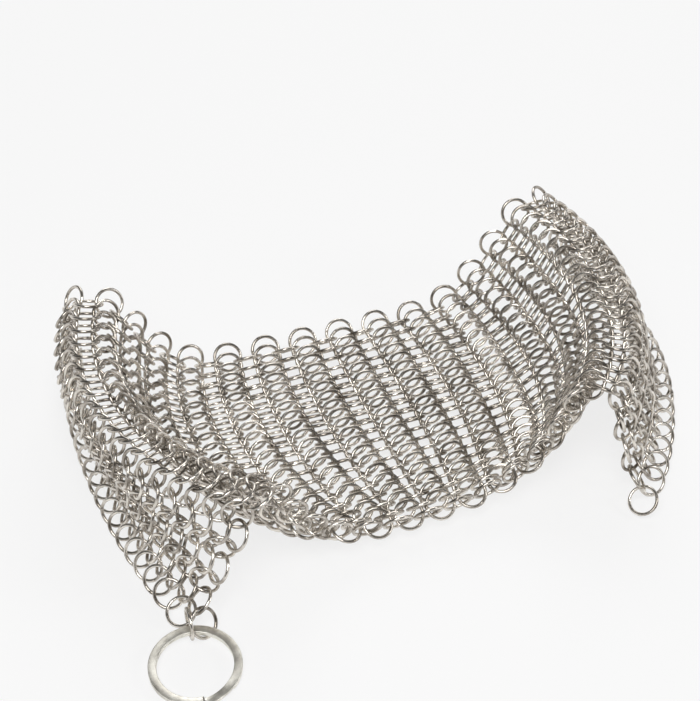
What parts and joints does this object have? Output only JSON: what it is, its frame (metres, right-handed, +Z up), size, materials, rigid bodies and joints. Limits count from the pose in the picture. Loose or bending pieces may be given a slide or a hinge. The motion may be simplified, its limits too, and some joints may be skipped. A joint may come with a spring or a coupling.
{
  "type": "pot scrubber",
  "caption": "sheet of ring mail for scrubbing pots and pans, set in the shape it takes across a round rim, with a split ring on one corner",
  "frame": {"origin": "middle of the footprint, on the table that the part rests on", "axes": "+X runs across the rows from the flap with the split ring to the other flap, +Y along the rows, away from the split ring's corner, +Z up"},
  "size_m": [0.2438, 0.1884, 0.0542],
  "materials": {
    "wire": "bright drawn wire",
    "strip": "tumbled, satin"
  },
  "bodies": {
    "left_side": {"mail_row_01": "wire", "mail_row_02": "wire", "mail_row_03": "wire", "mail_row_04": "wire", "mail_row_05": "wire", "mail_row_06": "wire", "mail_row_07": "wire", "mail_row_08": "wire", "mail_row_09": "wire", "mail_row_10": "wire", "mail_row_11": "wire", "mail_row_12": "wire", "mail_row_13": "wire", "mail_row_14": "wire", "mail_row_15": "wire", "mail_row_16": "wire", "mail_row_17": "wire", "mail_row_18": "wire", "mail_row_19": "wire"},
    "row_20": {"mail_row_20": "wire"},
    "row_21": {"mail_row_21": "wire"},
    "row_22": {"mail_row_22": "wire"},
    "row_23": {"mail_row_23": "wire"},
    "row_24": {"mail_row_24": "wire"},
    "row_25": {"mail_row_25": "wire"},
    "row_26": {"mail_row_26": "wire"},
    "right_side": {"mail_row_27": "wire", "mail_row_28": "wire", "mail_row_29": "wire", "mail_row_30": "wire", "mail_row_31": "wire", "mail_row_32": "wire", "mail_row_33": "wire", "mail_row_34": "wire", "mail_row_35": "wire", "mail_row_36": "wire", "mail_row_37": "wire", "mail_row_38": "wire", "mail_row_39": "wire", "mail_row_40": "wire", "mail_row_41": "wire", "mail_row_42": "wire", "mail_row_43": "wire"},
    "split_ring_links": {"split_ring_link_a": "wire", "split_ring_link_b": "wire"},
    "split_ring": {"split_ring": "strip"},
    "end_ring": {"end_ring": "wire"},
    "far_corner_ring_left": {"far_corner_ring_left": "wire"},
    "far_corner_ring_right": {"far_corner_ring_right": "wire"}
  },
  "joints": [
    {"name": "fold_19_20", "type": "hinge", "parent": "left_side", "child": "row_20", "pos_m": [-0.02906, 0.01454, 0.00807], "axis": [-0.052, 0.9986, -0.008], "range_deg": [-2, 3]},
    {"name": "fold_20_21", "type": "hinge", "parent": "row_20", "child": "row_21", "pos_m": [-0.02113, 0.01974, 0.00812], "axis": [-0.017, 0.9998, -0.01], "range_deg": [-2, 3]},
    {"name": "fold_21_22", "type": "hinge", "parent": "row_21", "child": "row_22", "pos_m": [-0.0127, 0.01806, 0.00798], "axis": [-0.02, 0.9998, -0.008], "range_deg": [-2, 3]},
    {"name": "fold_22_23", "type": "hinge", "parent": "row_22", "child": "row_23", "pos_m": [-0.0044, 0.0182, 0.00809], "axis": [-0.014, 0.9998, -0.012], "range_deg": [-2, 3]},
    {"name": "fold_23_24", "type": "hinge", "parent": "row_23", "child": "row_24", "pos_m": [0.00387, 0.02011, 0.00801], "axis": [-0.007, 1, -0.005], "range_deg": [-2, 3]},
    {"name": "fold_24_25", "type": "hinge", "parent": "row_24", "child": "row_25", "pos_m": [0.01215, 0.01665, 0.00809], "axis": [0.002, 0.9999, -0.015], "range_deg": [-2, 3]},
    {"name": "fold_25_26", "type": "hinge", "parent": "row_25", "child": "row_26", "pos_m": [0.02039, 0.01574, 0.00806], "axis": [0.01, 0.9999, -0.005], "range_deg": [-2, 3]},
    {"name": "fold_26_27", "type": "hinge", "parent": "row_26", "child": "right_side", "pos_m": [0.02846, 0.01413, 0.00827], "axis": [0.027, 0.9993, -0.027], "range_deg": [-2, 3]},
    {"name": "split_ring_links_swing", "type": "hinge", "parent": "left_side", "child": "split_ring_links", "pos_m": [-0.10032, -0.05998, 0.00574], "axis": [0.6201, -0.1616, 0.7677], "range_deg": [-1, 60]},
    {"name": "split_ring_swing", "type": "hinge", "parent": "split_ring_links", "child": "split_ring", "pos_m": [-0.09962, -0.06421, 0.0034], "axis": [-0.9204, 0.3909, -0.0018], "range_deg": [-38, 33]},
    {"name": "end_ring_swing", "type": "hinge", "parent": "right_side", "child": "end_ring", "pos_m": [0.0757, -0.06117, 0.00696], "axis": [0.5939, 0.2335, -0.7699], "range_deg": [-120, 112]},
    {"name": "far_corner_ring_left_swing", "type": "hinge", "parent": "left_side", "child": "far_corner_ring_left", "pos_m": [-0.10687, 0.08427, 0.00493], "axis": [-0.6596, -0.7006, -0.2724], "range_deg": [-24, 150]},
    {"name": "far_corner_ring_right_swing", "type": "hinge", "parent": "right_side", "child": "far_corner_ring_right", "pos_m": [0.10662, 0.06333, 0.00457], "axis": [-0.6163, 0.6128, -0.4947], "range_deg": [-24, 71]}
  ],
  "couplings": [
    {"joint": "fold_20_21", "follows": "fold_19_20", "ratio": 1},
    {"joint": "fold_21_22", "follows": "fold_19_20", "ratio": 1},
    {"joint": "fold_22_23", "follows": "fold_19_20", "ratio": 1},
    {"joint": "fold_23_24", "follows": "fold_19_20", "ratio": 1},
    {"joint": "fold_24_25", "follows": "fold_19_20", "ratio": 1},
    {"joint": "fold_25_26", "follows": "fold_19_20", "ratio": 1},
    {"joint": "fold_26_27", "follows": "fold_19_20", "ratio": 1}
  ]
}
